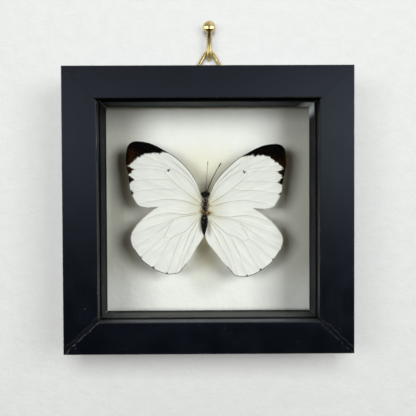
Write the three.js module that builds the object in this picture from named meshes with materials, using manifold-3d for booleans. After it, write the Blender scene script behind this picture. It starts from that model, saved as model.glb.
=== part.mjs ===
// A framed butterfly specimen: a white butterfly with dark wing tips, spread between two panes of glass in a
// square black wooden frame, which hangs by a triangular wire ring from a brass wall hook with a ball end.
// Millimetres, +Z up. The wall is the plane y = 0 and the frame faces -Y. The origin is where the axis of the
// hook's shank enters the wall.
import * as THREE from "three";
import { mergeVertices } from "three/addons/utils/BufferGeometryUtils.js";
import Module from "manifold-3d";

const wasm = await Module();
wasm.setup();

// Driving dimensions
const gap = 0.3; // between pieces that touch
const frameWidth = 120;
const frameHeight = 118.7;
const frameDepth = 30;
const frameCentreX = -0.9; // the hanger sits a little right of the frame's middle
const frameTop = -9.4;
const frameBack = -4.3; // the hanger holds the frame this far off the wall
const sideRailFace = 14.35;
const crossRailFace = 13.5;
const lipDepth = 5.6;
const rebateWidth = 5;
const edgeChamfer = 0.5;
const mitreGap = 0.15; // left out of each rail's end
const paneThickness = 2;
const spacerDepth = 16.8;
const spacerProud = 0.35; // the spacers stand this far inside the lip's edge
const hookRodRadius = 1.1;
const hookBendRadius = 3.5;
const hookBallRadius = 2.75;
const hookBallHeight = 13.3;
const hookShankInWall = 15;
const ringWireRadius = 0.75;
const ringApexRadius = 2.4;
const ringBaseRadius = 1.6;
const ringBaseHeight = -10.95;
const strapWidth = 6;
const strapThickness = 1;
const wingThickness = 0.3;
const wingPlane = -13;
const bodyCentreX = -2.3;
const bodyCentreY = -12.4;
const bodyTilt = 0.042; // radians, head towards +X

// Finishes
function finish(color, roughness, more = {}) {
  return new THREE.MeshStandardMaterial({ color, roughness, ...more });
}

const finishes = {
  paint: finish(0x14161c, 0.5),
  glass: finish(0xf4f8f6, 0.05, { transparent: true, opacity: 0.15 }),
  spacer: finish(0x24241f, 0.7),
  steel: finish(0x9a9c9e, 0.4, { metalness: 1 }),
  brass: finish(0xc9a64b, 0.2, { metalness: 1 }),
  body: finish(0x1c1a18, 0.8),
  wing: finish(0xe8ebe6, 0.7),
  antenna: finish(0x2a2724, 0.7),
  glue: finish(0xe9e4d2, 0.2, { transparent: true, opacity: 0.5 }),
};

const part = new THREE.Group();
part.name = "framed_butterfly";

function place(name, geometry, finishName) {
  const mesh = new THREE.Mesh(geometry, finishes[finishName]);
  mesh.name = name;
  part.add(mesh);
}

// Joining and cutting closed meshes
function solidOf(geometry) {
  const bare = geometry.clone();
  bare.deleteAttribute("normal");
  bare.deleteAttribute("uv");
  const merged = mergeVertices(bare, 1e-4);
  return new wasm.Manifold(
    new wasm.Mesh({
      numProp: 3,
      vertProperties: new Float32Array(merged.getAttribute("position").array),
      triVerts: new Uint32Array(merged.index.array),
    }),
  );
}

function geometryOf(solid) {
  const mesh = solid.getMesh();
  const positions = new Float32Array(mesh.numVert * 3);
  for (let i = 0; i < mesh.numVert; i++) {
    const start = i * mesh.numProp;
    positions.set(mesh.vertProperties.subarray(start, start + 3), i * 3);
  }
  const made = new THREE.BufferGeometry();
  made.setAttribute("position", new THREE.BufferAttribute(positions, 3));
  made.setIndex(new THREE.BufferAttribute(mesh.triVerts, 1));
  return made;
}

// A block given by its lowest and highest corner
function block(low, high) {
  const size = high.map((value, axis) => value - low[axis]);
  const middle = high.map((value, axis) => (value + low[axis]) / 2);
  return new THREE.BoxGeometry(...size).translate(...middle);
}

// The frame's levels, from the front face back
const frameFront = frameBack - frameDepth;
const lipBack = frameFront + lipDepth;
const frontPaneFront = lipBack + gap;
const frontPaneBack = frontPaneFront + paneThickness;
const spacerFront = frontPaneBack + gap;
const spacerBack = spacerFront + spacerDepth;
const backPaneFront = spacerBack + gap;
const backPaneBack = backPaneFront + paneThickness;
const frameCentreZ = frameTop - frameHeight / 2;

// The four sides, each as its turn about the frame's middle, the length it runs, the face it shows and the
// distance from the frame's middle to its outer edge
const crossRail = { length: frameWidth, reach: frameHeight / 2, face: crossRailFace, endFace: sideRailFace };
const sideRail = { length: frameHeight, reach: frameWidth / 2, face: sideRailFace, endFace: crossRailFace };
const sides = [
  { name: "top", turn: 0, ...crossRail },
  { name: "left", turn: Math.PI / 2, ...sideRail },
  { name: "bottom", turn: Math.PI, ...crossRail },
  { name: "right", turn: -Math.PI / 2, ...sideRail },
];

// Turns a geometry made for the top side onto another side of the frame
function ontoSide(geometry, side) {
  return geometry.rotateY(-side.turn).translate(frameCentreX, 0, frameCentreZ);
}

// A length of section with mitred ends, lying along X with its outer edge at the height given by reach. The
// section's points are [inwards from the outer edge, back from the front face].
function mitred(section, side, endClearance) {
  const shape = new THREE.Shape(section.map(([inwards, back]) => new THREE.Vector2(inwards, back)));
  const made = new THREE.ExtrudeGeometry(shape, { depth: 1, bevelEnabled: false, steps: 1 });
  const positions = made.getAttribute("position");
  const slope = side.endFace / side.face;
  for (let i = 0; i < positions.count; i++) {
    const inwards = positions.getX(i);
    const back = positions.getY(i);
    const end = positions.getZ(i) < 0.5 ? -1 : 1;
    const halfLength = side.length / 2 - inwards * slope - endClearance;
    positions.setXYZ(i, end * halfLength, frameFront + back, side.reach - inwards);
  }
  return made;
}

// A flat steel point: a small blade, half of it pressed into the wood and half over the pane
const pointWidth = 8;
const pointThickness = 0.5;
const pointOverPane = 3.4;
const pointInWood = 2.2;
const pointFront = backPaneBack + gap;

function railSolid(side) {
  const rebate = side.face - rebateWidth;
  const section = [
    [edgeChamfer, 0],
    [side.face - edgeChamfer, 0],
    [side.face, edgeChamfer],
    [side.face, lipDepth],
    [rebate, lipDepth],
    [rebate, frameDepth],
    [0, frameDepth],
    [0, edgeChamfer],
  ];
  const rebateWall = side.reach - rebate;
  const halfSlot = pointWidth / 2 + gap;
  const slot = block(
    [-halfSlot, pointFront - gap, rebateWall - 1],
    [halfSlot, pointFront + pointThickness + gap, rebateWall + pointInWood + gap],
  );
  return solidOf(mitred(section, side, mitreGap)).subtract(solidOf(slot));
}

function glazingPoint(side) {
  const base = side.reach - (side.face - rebateWidth);
  const shape = new THREE.Shape();
  shape.moveTo(-pointWidth / 2, base - 0.8);
  shape.lineTo(-pointWidth / 4, base - pointOverPane);
  shape.lineTo(pointWidth / 4, base - pointOverPane);
  shape.lineTo(pointWidth / 2, base - 0.8);
  shape.lineTo(pointWidth / 2, base);
  shape.lineTo(0, base + pointInWood);
  shape.lineTo(-pointWidth / 2, base);
  const made = new THREE.ExtrudeGeometry(shape, { depth: pointThickness, bevelEnabled: false });
  return made.rotateX(Math.PI / 2).translate(0, pointFront + pointThickness, 0);
}

// The spacer strips line the wood between the panes and stand a little inside the lip's edge
function spacer(side) {
  const outer = side.face - rebateWidth + gap;
  const inner = side.face + spacerProud;
  const section = [
    [outer, spacerFront - frameFront],
    [inner, spacerFront - frameFront],
    [inner, spacerBack - frameFront],
    [outer, spacerBack - frameFront],
  ];
  return mitred(section, side, mitreGap);
}

function pane(front) {
  const halfWidth = frameWidth / 2 - sideRailFace + rebateWidth - gap;
  const halfHeight = frameHeight / 2 - crossRailFace + rebateWidth - gap;
  return block(
    [frameCentreX - halfWidth, front, frameCentreZ - halfHeight],
    [frameCentreX + halfWidth, front + paneThickness, frameCentreZ + halfHeight],
  );
}

// The hanger: a screw through the plate of a folded strap, whose eye holds the base of the ring
const screwHeight = -14.2;
const screwHeadRadius = 1.5;
const screwHeadHeight = 1.1;
const screwShaftRadius = 0.8;
const screwLength = 7;
const strapFront = frameBack + gap;
const strapBack = strapFront + strapThickness;
const eyeRadius = ringWireRadius + gap + 0.5;
const ringPlane = strapFront + eyeRadius;

function rodAlongY(radius, from, to, sides) {
  const made = new THREE.CylinderGeometry(radius, radius, to - from, sides);
  return made.translate(0, (from + to) / 2, screwHeight);
}

function hangerStrap() {
  const plateBottom = -16.6;
  const plateTop = ringBaseHeight - Math.sqrt(eyeRadius ** 2 - (eyeRadius - strapThickness) ** 2);
  const startAngle = Math.atan2(plateTop - ringBaseHeight, strapBack - ringPlane);
  const shape = new THREE.Shape();
  shape.moveTo(strapFront, plateBottom);
  shape.lineTo(strapBack, plateBottom);
  shape.lineTo(strapBack, plateTop);
  shape.absarc(ringPlane, ringBaseHeight, eyeRadius, startAngle, Math.PI, false);
  shape.lineTo(strapFront, plateBottom);
  const eye = new THREE.Path();
  eye.absarc(ringPlane, ringBaseHeight, ringWireRadius + gap, 0, 2 * Math.PI, true);
  shape.holes.push(eye);
  const extrusion = { depth: strapWidth, bevelEnabled: false, curveSegments: 10 };
  const made = new THREE.ExtrudeGeometry(shape, extrusion);
  // The shape's X and Y become Y and Z, and the extrusion runs along X
  const turned = new THREE.Matrix4().makeBasis(
    new THREE.Vector3(0, 1, 0),
    new THREE.Vector3(0, 0, 1),
    new THREE.Vector3(1, 0, 0),
  );
  made.applyMatrix4(turned).translate(-strapWidth / 2, 0, 0);
  const hole = rodAlongY(screwShaftRadius + gap, strapFront - 1, strapBack + 1, 16);
  return geometryOf(solidOf(made).subtract(solidOf(hole)));
}

function hangerScrew() {
  const headFront = strapBack + gap;
  const profile = [new THREE.Vector2(0, 0)];
  const steps = 5;
  for (let i = 0; i <= steps; i++) {
    const angle = (i / steps) * (Math.PI / 2);
    profile.push(new THREE.Vector2(screwHeadRadius * Math.cos(angle), screwHeadHeight * Math.sin(angle)));
  }
  const head = new THREE.LatheGeometry([...profile.slice(0, -1), new THREE.Vector2(0, screwHeadHeight)], 16);
  head.translate(0, headFront, screwHeight);
  const shaft = new THREE.LatheGeometry(
    [
      new THREE.Vector2(0, -screwLength),
      new THREE.Vector2(screwShaftRadius, -screwLength + 1.6),
      new THREE.Vector2(screwShaftRadius, 0.2),
      new THREE.Vector2(0, 0.2),
    ],
    16,
  );
  shaft.translate(0, headFront, screwHeight);
  const slotTop = headFront + screwHeadHeight;
  const slot = block([-0.2, slotTop - 0.6, screwHeight - 2], [0.2, slotTop + 1, screwHeight + 2]);
  return geometryOf(solidOf(head).add(solidOf(shaft)).subtract(solidOf(slot)));
}

// An arc about a centre, in the plane of two directions at right angles
class Arc extends THREE.Curve {
  constructor(centre, from, to, radius, fromAngle, toAngle) {
    super();
    Object.assign(this, { centre, from, to, radius, fromAngle, toAngle });
  }
  getPoint(t) {
    const angle = this.fromAngle + (this.toAngle - this.fromAngle) * t;
    return this.centre
      .clone()
      .addScaledVector(this.from, this.radius * Math.cos(angle))
      .addScaledVector(this.to, this.radius * Math.sin(angle));
  }
}

function roundSection(radius, sides) {
  const points = [];
  for (let i = 0; i < sides; i++) {
    const angle = (i / sides) * 2 * Math.PI;
    points.push(new THREE.Vector2(radius * Math.cos(angle), radius * Math.sin(angle)));
  }
  return new THREE.Shape(points);
}

// Wire ring: an equilateral triangle with rounded corners whose ends butt together inside the strap
function hangerRing() {
  const bend = hookBendRadius - hookRodRadius - ringWireRadius - gap;
  const apexWire = hookBendRadius - bend * Math.SQRT1_2;
  const sharpApex = apexWire + ringApexRadius;
  const halfBase = (sharpApex - ringBaseHeight) * Math.tan(Math.PI / 6);
  const at = (x, z) => new THREE.Vector3(x, ringPlane, z);
  const right = new THREE.Vector3(1, 0, 0);
  const up = new THREE.Vector3(0, 0, 1);
  const baseCentreX = halfBase - ringBaseRadius * Math.sqrt(3);
  const baseCentreZ = ringBaseHeight + ringBaseRadius;
  const apexCentreZ = sharpApex - 2 * ringApexRadius;
  const degrees = Math.PI / 180;
  const corners = [
    new Arc(at(baseCentreX, baseCentreZ), right, up, ringBaseRadius, -90 * degrees, 30 * degrees),
    new Arc(at(0, apexCentreZ), right, up, ringApexRadius, 30 * degrees, 150 * degrees),
    new Arc(at(-baseCentreX, baseCentreZ), right, up, ringBaseRadius, 150 * degrees, 270 * degrees),
  ];
  const path = new THREE.CurvePath();
  let last = at(gap / 2, ringBaseHeight);
  for (const corner of corners) {
    path.add(new THREE.LineCurve3(last, corner.getPoint(0)));
    path.add(corner);
    last = corner.getPoint(1);
  }
  path.add(new THREE.LineCurve3(last, at(-gap / 2, ringBaseHeight)));
  return new THREE.ExtrudeGeometry(roundSection(ringWireRadius, 10), { steps: 72, extrudePath: path });
}

// The hook: a round rod screwed into the wall, bent up in front of it and ending in a ball
function wallHook() {
  const bendY = -hookBendY();
  const along = new THREE.Vector3(0, 1, 0);
  const up = new THREE.Vector3(0, 0, 1);
  const shankEnd = hookShankInWall - 3;
  const bendCentre = new THREE.Vector3(0, bendY + hookBendRadius, hookBendRadius);
  const bend = new Arc(bendCentre, along, up, hookBendRadius, -Math.PI / 2, -Math.PI);
  const path = new THREE.CurvePath();
  path.add(new THREE.LineCurve3(new THREE.Vector3(0, shankEnd, 0), bend.getPoint(0)));
  path.add(bend);
  path.add(new THREE.LineCurve3(bend.getPoint(1), new THREE.Vector3(0, bendY, hookBallHeight)));
  const rod = new THREE.ExtrudeGeometry(roundSection(hookRodRadius, 12), { steps: 36, extrudePath: path });
  const tip = new THREE.ConeGeometry(hookRodRadius, 4, 12).translate(0, shankEnd + 1, 0);
  const ball = new THREE.SphereGeometry(hookBallRadius, 20, 14).rotateX(Math.PI / 2);
  ball.translate(0, bendY, hookBallHeight);
  return geometryOf(solidOf(rod).add(solidOf(tip)).add(solidOf(ball)));
}

// How far in front of the wall the hook's upright stands, so that the ring lies in the bend
function hookBendY() {
  const bend = hookBendRadius - hookRodRadius - ringWireRadius - gap;
  return hookBendRadius - bend * Math.SQRT1_2 - ringPlane;
}

// Head, thorax and abdomen: one grown body, round in section and deeper than it is wide, as
// [distance from the body's middle towards the head, half width]
const thoraxHalfWidth = 1.45;
const bodyProfile = [
  [5.4, 0],
  [5.2, 1.1],
  [4.5, 1.75],
  [3.6, 1.7],
  [2.9, 1.15],
  [2.2, 1.25],
  [0.8, thoraxHalfWidth],
  [-1.4, thoraxHalfWidth],
  [-3.6, 1.2],
  [-5.2, 0.85],
  [-6.2, 1.3],
  [-7.6, 1.7],
  [-9.2, 1.5],
  [-11.2, 1.25],
  [-13, 0.85],
  [-14, 0.35],
  [-14.2, 0],
];
const bodyDeepening = 1.4;
const bodyCentreZ = -66.2;

function butterflyBody() {
  const profile = bodyProfile.map(([along, half]) => new THREE.Vector2(half, along)).reverse();
  const made = new THREE.LatheGeometry(profile, 20);
  made.rotateX(Math.PI / 2).scale(1, bodyDeepening, 1);
  return made.rotateY(bodyTilt).translate(bodyCentreX, bodyCentreY, bodyCentreZ);
}

// A wing's outline as [outwards from its root, up]: the front edge out to the tip, then the margin round and
// back to the root
const forewingFrontEdge = [
  [0.2, 4.2],
  [0.7, 6.3],
  [1.9, 9.5],
  [4.5, 14],
  [8.1, 18.1],
  [11.7, 21.2],
  [15.3, 23.4],
  [19.8, 26],
  [22.9, 27.3],
  [26.9, 28],
  [29.6, 27.9],
  [31.4, 26.9],
  [32.5, 24.9],
];
const forewingMargin = [
  [33, 21],
  [32.8, 17.2],
  [31.8, 11.9],
  [31.4, 7.9],
  [30.5, 4.7],
  [28.3, 0.8],
  [26.9, -0.5],
  [23.1, -1.1],
  [18.6, -1],
  [0.5, -1.8],
];
const hindwingFrontEdge = [
  [3, 1.2],
  [9, 2.9],
  [15, 2.9],
  [18.7, 1.6],
  [21.9, -0.4],
  [24.6, -2.7],
  [27.3, -5.1],
  [29.6, -8.1],
  [30.9, -10.8],
  [31, -13.5],
];
const hindwingMargin = [
  [29.8, -16.7],
  [26.9, -21],
  [24.3, -23.5],
  [21.3, -25.5],
  [18.8, -26.9],
  [15.3, -28.1],
  [12.5, -28.1],
  [9.8, -27.4],
  [8.5, -26],
  [5.3, -21.7],
  [2.1, -16.8],
  [-0.4, -11.8],
  [0.3, -7.5],
  [0.4, -3],
];

// A wing as a thin plate: side is -1 for the left one, and inner moves its root edge towards the body
function wing(frontEdge, margin, { side, root, turn, size, inner, back }) {
  const outline = [[0, 0], ...frontEdge, ...margin];
  const centre = new THREE.Vector2();
  const points = outline.map(([out, up]) => {
    const reach = out < 1 ? out - inner : out;
    const point = new THREE.Vector2(reach, up).multiplyScalar(size).rotateAround(centre, turn);
    return new THREE.Vector2(root[0] + side * point.x, root[1] + point.y);
  });
  const shape = new THREE.Shape(points);
  const made = new THREE.ExtrudeGeometry(shape, { depth: wingThickness, bevelEnabled: false });
  return made.rotateX(Math.PI / 2).translate(0, back + wingThickness / 2, 0);
}

const hindwingPlane = wingPlane + wingThickness + gap;
const wings = {
  forewing_left: { side: -1, root: [-4.1, -66.7], turn: 0, size: 1, inner: 0, back: wingPlane },
  forewing_right: { side: 1, root: [0.8, -67], turn: -0.023, size: 0.983, inner: 1.2, back: wingPlane },
  hindwing_left: { side: -1, root: [-4.1, -69.3], turn: 0, size: 1, inner: 0, back: hindwingPlane },
  hindwing_right: { side: 1, root: [0.8, -70.6], turn: 0.0075, size: 1.004, inner: 1.1, back: hindwingPlane },
};

// An antenna: a thin shaft with a small club, from the head towards its tip
function antenna(base, tip) {
  const shaftRadius = 0.16;
  const clubRadius = 0.32;
  const length = Math.hypot(tip[0] - base[0], tip[1] - base[1]);
  const profile = [
    [0, 0],
    [shaftRadius, 0.1],
    [shaftRadius, 0.8 * length],
    [clubRadius, 0.92 * length],
    [0.7 * clubRadius, 0.98 * length],
    [0, length],
  ];
  const made = new THREE.LatheGeometry(profile.map(([radius, along]) => new THREE.Vector2(radius, along)), 8);
  const lean = Math.atan2(tip[0] - base[0], tip[1] - base[1]);
  return made.rotateX(Math.PI / 2).rotateY(lean).translate(base[0], bodyCentreY - 0.8, base[1]);
}

// The dot of glue lies between the underside of the thorax and the back pane
function glueDot() {
  const radius = 1.3;
  const front = bodyCentreY + thoraxHalfWidth * bodyDeepening + gap;
  const back = backPaneFront - gap;
  const made = new THREE.LatheGeometry(
    [
      new THREE.Vector2(0, front),
      new THREE.Vector2(0.7 * radius, front + 0.15),
      new THREE.Vector2(radius, back),
      new THREE.Vector2(0, back),
    ],
    20,
  );
  return made.translate(bodyCentreX, 0, bodyCentreZ);
}

// Assembly
for (const side of sides) {
  let rail = railSolid(side);
  if (side.name === "top") {
    const pilot = rodAlongY(screwShaftRadius + gap, frameBack - screwLength, frameBack + 1, 12);
    rail = rail.subtract(solidOf(pilot.translate(-frameCentreX, 0, -frameCentreZ)));
  }
  place(`rail_${side.name}`, ontoSide(geometryOf(rail), side), "paint");
  place(`spacer_${side.name}`, ontoSide(spacer(side), side), "spacer");
  place(`glazing_point_${side.name}`, ontoSide(glazingPoint(side), side), "steel");
}
place("front_glass", pane(frontPaneFront), "glass");
place("back_glass", pane(backPaneFront), "glass");
place("hanger_strap", hangerStrap(), "brass");
place("hanger_screw", hangerScrew(), "brass");
place("hanger_ring", hangerRing(), "brass");
place("wall_hook", wallHook(), "brass");
place("butterfly_body", butterflyBody(), "body");
place("forewing_left", wing(forewingFrontEdge, forewingMargin, wings.forewing_left), "wing");
place("forewing_right", wing(forewingFrontEdge, forewingMargin, wings.forewing_right), "wing");
place("hindwing_left", wing(hindwingFrontEdge, hindwingMargin, wings.hindwing_left), "wing");
place("hindwing_right", wing(hindwingFrontEdge, hindwingMargin, wings.hindwing_right), "wing");
place("antenna_left", antenna([-2, -60.3], [-0.9, -47.4]), "antenna");
place("antenna_right", antenna([-1.4, -60.3], [4.9, -48.3]), "antenna");
place("glue_dot", glueDot(), "glue");

export default part;
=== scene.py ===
import math
import random

import bmesh
import bpy
import numpy as np
from mathutils import Matrix, Vector


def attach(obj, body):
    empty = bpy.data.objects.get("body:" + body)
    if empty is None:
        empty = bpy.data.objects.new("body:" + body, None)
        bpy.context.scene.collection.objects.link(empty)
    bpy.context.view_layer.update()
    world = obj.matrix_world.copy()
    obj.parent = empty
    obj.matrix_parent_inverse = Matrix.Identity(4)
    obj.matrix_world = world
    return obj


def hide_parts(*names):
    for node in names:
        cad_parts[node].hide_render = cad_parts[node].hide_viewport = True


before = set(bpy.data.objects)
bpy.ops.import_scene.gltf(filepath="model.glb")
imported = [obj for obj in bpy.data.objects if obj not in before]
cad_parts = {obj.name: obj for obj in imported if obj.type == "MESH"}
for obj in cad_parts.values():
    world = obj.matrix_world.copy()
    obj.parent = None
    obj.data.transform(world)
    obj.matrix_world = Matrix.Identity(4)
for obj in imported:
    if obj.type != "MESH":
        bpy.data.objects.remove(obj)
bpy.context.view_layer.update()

mm = 0.001

# Camera
# It stands 270 mm in front of the frame, a little above its middle, and looks down at it.
camera_data = bpy.data.cameras.new("camera")
camera_data.lens = 57.04
camera_data.sensor_width = 36
camera = bpy.data.objects.new("camera", camera_data)
bpy.context.scene.collection.objects.link(camera)
bpy.context.scene.camera = camera
yaw, dip, roll = math.radians(0.324), math.radians(1.223), math.radians(-0.256)
forward = Vector((math.sin(yaw) * math.cos(dip), math.cos(yaw) * math.cos(dip), -math.sin(dip)))
across = Vector((math.cos(yaw), -math.sin(yaw), 0))
upward = across.cross(forward)
camera.matrix_world = Matrix.Translation((-2.62 * mm, -304.3 * mm, -62.02 * mm)) @ Matrix(
    (
        across * math.cos(roll) + upward * math.sin(roll),
        upward * math.cos(roll) - across * math.sin(roll),
        -forward,
    )
).transposed().to_4x4()
bpy.context.scene.view_settings.view_transform = "Standard"

# Rails
# Four mouldings of soft wood with a rebate behind a thin front lip, mitred, glued and painted satin black.
# The paint has cracked open along the two lower mitres, and it's rubbed at the edges and specked here and there.
frame_width, frame_height = 120, 118.7
frame_x, frame_z = -0.9, -68.75
frame_front, frame_back = -34.3, -4.3
side_face, cross_face = 14.35, 13.5
lip_depth, rebate_width = 5.6, 5
opening_x, opening_z = frame_width / 2 - side_face, frame_height / 2 - cross_face


class Wire:
    """A value in a material. Arithmetic on it adds Math nodes."""

    def __init__(self, nodes, socket):
        self.nodes, self.socket = nodes, socket

    def math(self, operation, *values):
        return self.nodes.add("Math", {"operation": operation}, dict(enumerate(values)))

    def __add__(self, other):
        return self.math("ADD", self, other)

    def __sub__(self, other):
        return self.math("SUBTRACT", self, other)

    def __rsub__(self, other):
        return self.math("SUBTRACT", other, self)

    def __mul__(self, other):
        return self.math("MULTIPLY", self, other)

    def __abs__(self):
        return self.math("ABSOLUTE", self)

    __radd__, __rmul__ = __add__, __mul__


class Nodes:
    """The nodes of a new material of the given name, or of the world, while they're written."""

    def __init__(self, owner):
        self.owner = bpy.data.materials.new(owner) if isinstance(owner, str) else owner
        self.owner.use_nodes = True
        self.tree = self.owner.node_tree
        self.tree.nodes.clear()

    def add(self, kind, settings, sockets, out=0):
        node = self.tree.nodes.new("ShaderNode" + kind)
        for name, value in settings.items():
            setattr(node, name, value)
        for key, value in sockets.items():
            socket = node.inputs[key]
            if isinstance(value, Wire):
                self.tree.links.new(value.socket, socket)
            else:
                socket.default_value = (*value, 1) if socket.type == "RGBA" else value
        return Wire(self, node.outputs[out]) if node.outputs else None

    def place(self, scale, offset=(0, 0, 0)):
        """Where a point of the piece is, in millimetres, scaled on each axis."""
        spot = self.add("TexCoord", {}, {}, "Object")
        moved = self.add("VectorMath", {"operation": "SUBTRACT"}, {0: spot, 1: [v * mm for v in offset]})
        size = scale if isinstance(scale, tuple) else (scale, scale, scale)
        return self.add("VectorMath", {"operation": "MULTIPLY"}, {0: moved, 1: [v / mm for v in size]})

    def split(self, vector):
        return [self.add("SeparateXYZ", {}, {0: vector}, axis) for axis in range(3)]

    def noise(self, vector, detail=2.0, roughness=0.5):
        return self.add(
            "TexNoise", {}, {"Vector": vector, "Scale": 1.0, "Detail": detail, "Roughness": roughness}
        )

    def grain(self, scale, detail=2, roughness=0.5):
        """Noise with about the given number of lumps to a millimetre."""
        return self.noise(self.place(scale), detail, roughness)

    def distance(self, a, b=(0, 0, 0)):
        return self.add("VectorMath", {"operation": "DISTANCE"}, {0: a, 1: b}, 1)

    def marked(self, label):
        """A value that's kept on the points of the mesh."""
        return self.add("Attribute", {"attribute_name": label}, {}, "Fac")

    def step(self, value, low, high, start=0.0, end=1.0):
        """Goes smoothly from start to end while value goes from low to high."""
        return self.add(
            "MapRange",
            {"interpolation_type": "SMOOTHSTEP"},
            {0: value, 1: low, 2: high, 3: start, 4: end},
        )

    def blend(self, factor, a, b):
        return self.add("Mix", {"data_type": "RGBA"}, {0: factor, 6: a, 7: b}, 2)

    def bump(self, height, depth, strength=1.0):
        """A relief of the given depth in millimetres."""
        return self.add("Bump", {}, {"Strength": strength, "Distance": depth * mm, "Height": height})

    def finish(self, **sockets):
        """The Principled shader that the surface ends in, with its sockets' names written with underscores."""
        named = {name.replace("_", " "): value for name, value in sockets.items()}
        return self.end(self.add("BsdfPrincipled", {}, named))

    def end(self, shader):
        self.add("OutputMaterial", {}, {0: shader})
        return self.owner


def painted(name, grain, specular=0.5):
    """Satin black paint. Its brush marks are drawn out along the axis on which grain is small."""
    nodes = Nodes(name)
    spot = nodes.place(1.0, (frame_x, 0, frame_z))
    x, y, z = nodes.split(spot)
    out_x, out_z = abs(x) - opening_x, abs(z) - opening_z
    from_opening = out_x.math("MAXIMUM", out_x, out_z)
    diagonal = math.hypot(side_face, cross_face)
    off_mitre = out_x * (cross_face / diagonal) - out_z * (side_face / diagonal)
    on_front = nodes.step(y, frame_front + 0.3, frame_front + 1.0, 1, 0)
    lower = nodes.step(z, -30, -20, 1, 0) * on_front

    brushed = nodes.grain(grain, 3)
    peel = nodes.grain(2.2)
    cloudy = nodes.grain(0.16, 4)
    wander = nodes.grain(0.33, 3)
    patchy = nodes.grain(0.7)

    # The cracked paint stands up in a pale ragged line beside each lower mitre, over a dark smear of filler
    sliver = nodes.step(abs(off_mitre + 1.0 - wander * 1.5), 0.05, 0.24, 1, 0)
    sliver = sliver * nodes.step(patchy, 0.4, 0.55) * lower * nodes.step(x, -5, 5, 1, 0.35)
    ridge = nodes.step(abs(off_mitre - 2.6 + wander * 2.4), 0.05, 0.35, 1, 0) * lower * patchy
    smear = nodes.step(abs(off_mitre + 0.8 - wander * 2.0), 0.9, 1.7, 1, 0) * nodes.step(cloudy, 0.42, 0.55) * lower

    # The edges of the opening and of the outside are rubbed
    chips = nodes.grain(1.3, 3, 0.6)
    rubbed = nodes.step(abs(from_opening - 0.1), 0.15, 0.6, 1, 0) * nodes.step(chips, 0.6, 0.68) * on_front
    outer_rub = nodes.step(from_opening, 12.9, 13.6) * nodes.step(chips, 0.62, 0.7) * on_front

    # Specks of dust in the paint, and soft dents, as (x, z, radius, how pale)
    marks = [
        (-58.4, -12.5, 0.35, 0.8), (-53.8, -13.5, 0.4, 0.5), (-51.9, -109.1, 0.45, 0.9), (-55.8, -125.3, 0.4, 1.0),
        (50.4, -30.8, 0.5, 0.8), (51.0, -34.2, 0.3, 0.4), (35.7, -123.1, 0.5, 0.35), (5.5, -117.4, 0.6, 0.3),
        (53.0, -117.6, 0.4, 0.5),
    ]  # fmt: skip
    dust = 0.0
    for mark_x, mark_z, radius, pale in marks:
        away = nodes.distance(spot, (mark_x - frame_x, frame_front, mark_z - frame_z))
        dust = nodes.step(away, 0.3 * radius, radius, pale, 0) + dust

    paint = nodes.blend(nodes.step(cloudy, 0.35, 0.7), (0.0012, 0.002, 0.0036), (0.002, 0.003, 0.0052))
    paint = nodes.blend(smear * 0.6, paint, (0.0015, 0.0018, 0.003))
    # Painted highlight: the bottom rail's lip, which faces up to the light, is paler along its inner edge, most of all
    # in the middle
    lit_lower_lip = nodes.step(z, -43, -45.5) * nodes.step(from_opening, 0.65, 0.1) * nodes.step(abs(x), 46, 24, 0.12, 1)
    lit_lower_lip = lit_lower_lip * nodes.step(y, frame_front + 0.2, frame_front + 0.7, 0.25, 0.9)
    # Wear, specks and the painted highlight on the lower lip pale the paint
    worn_and_lit = lit_lower_lip + sliver * 0.55 + ridge * 0.12 + rubbed * 0.3 + outer_rub * 0.12 + dust * 0.28
    worn_and_lit = worn_and_lit.math("MINIMUM", worn_and_lit, 1.0)
    paint = nodes.blend(worn_and_lit, paint, (0.085, 0.09, 0.1))
    gloss = nodes.step(cloudy, 0.3, 0.75, 0.2, 0.24) + brushed * 0.06 + worn_and_lit * 0.25
    gloss = gloss + nodes.step(y, frame_front + 0.5, frame_front + 1.2, 0, 0.4)
    relief = brushed * 0.25 + peel * 0.15 + sliver * 1.6 + ridge * 1.2 - smear * 0.3 + dust * 0.6
    return nodes.finish(
        Base_Color=paint, Roughness=gloss, Normal=nodes.bump(relief, 0.05), Specular_IOR_Level=specular
    )


def select(*pieces):
    """Leaves edit mode and selects nothing but the given pieces, the first one active."""
    if bpy.context.object and bpy.context.object.mode == "EDIT":
        bpy.ops.object.mode_set(mode="OBJECT")
    bpy.ops.object.select_all(action="DESELECT")
    for piece in pieces:
        piece.select_set(True)
    if pieces:
        bpy.context.view_layer.objects.active = pieces[0]


def edit(piece):
    """Opens one piece in edit mode with all of it selected."""
    select(piece)
    bpy.ops.object.mode_set(mode="EDIT")
    bpy.ops.mesh.select_all(action="SELECT")


def pick(kind, test):
    """Selects the vertices, edges or faces of the edited piece that pass the test, and nothing else."""
    mesh = bpy.context.edit_object.data
    bpy.ops.mesh.select_mode(type={"verts": "VERT", "edges": "EDGE", "faces": "FACE"}[kind])
    bpy.ops.mesh.select_all(action="DESELECT")
    shape = bmesh.from_edit_mesh(mesh)
    for item in getattr(shape, kind):
        item.select_set(bool(test(item)))
    shape.select_flush_mode()
    bmesh.update_edit_mesh(mesh)


def bisect(place, facing, clear=True):
    """Cuts all of the edited piece at a place in millimetres, and clears and closes the side faced."""
    bpy.ops.mesh.select_all(action="SELECT")
    plane = [v * mm for v in place]
    bpy.ops.mesh.bisect(plane_co=plane, plane_no=facing, use_fill=clear, clear_outer=clear)


def extrude(*run):
    """Draws what's selected out along a run in millimetres."""
    bpy.ops.mesh.extrude_region_move(TRANSFORM_OT_translate={"value": [v * mm for v in run]})


def spin(steps, degrees, centre, axis, **settings):
    """Draws what's selected round a centre in millimetres."""
    centre = [v * mm for v in centre]
    bpy.ops.mesh.spin(steps=steps, angle=math.radians(degrees), center=centre, axis=axis, **settings)


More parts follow.
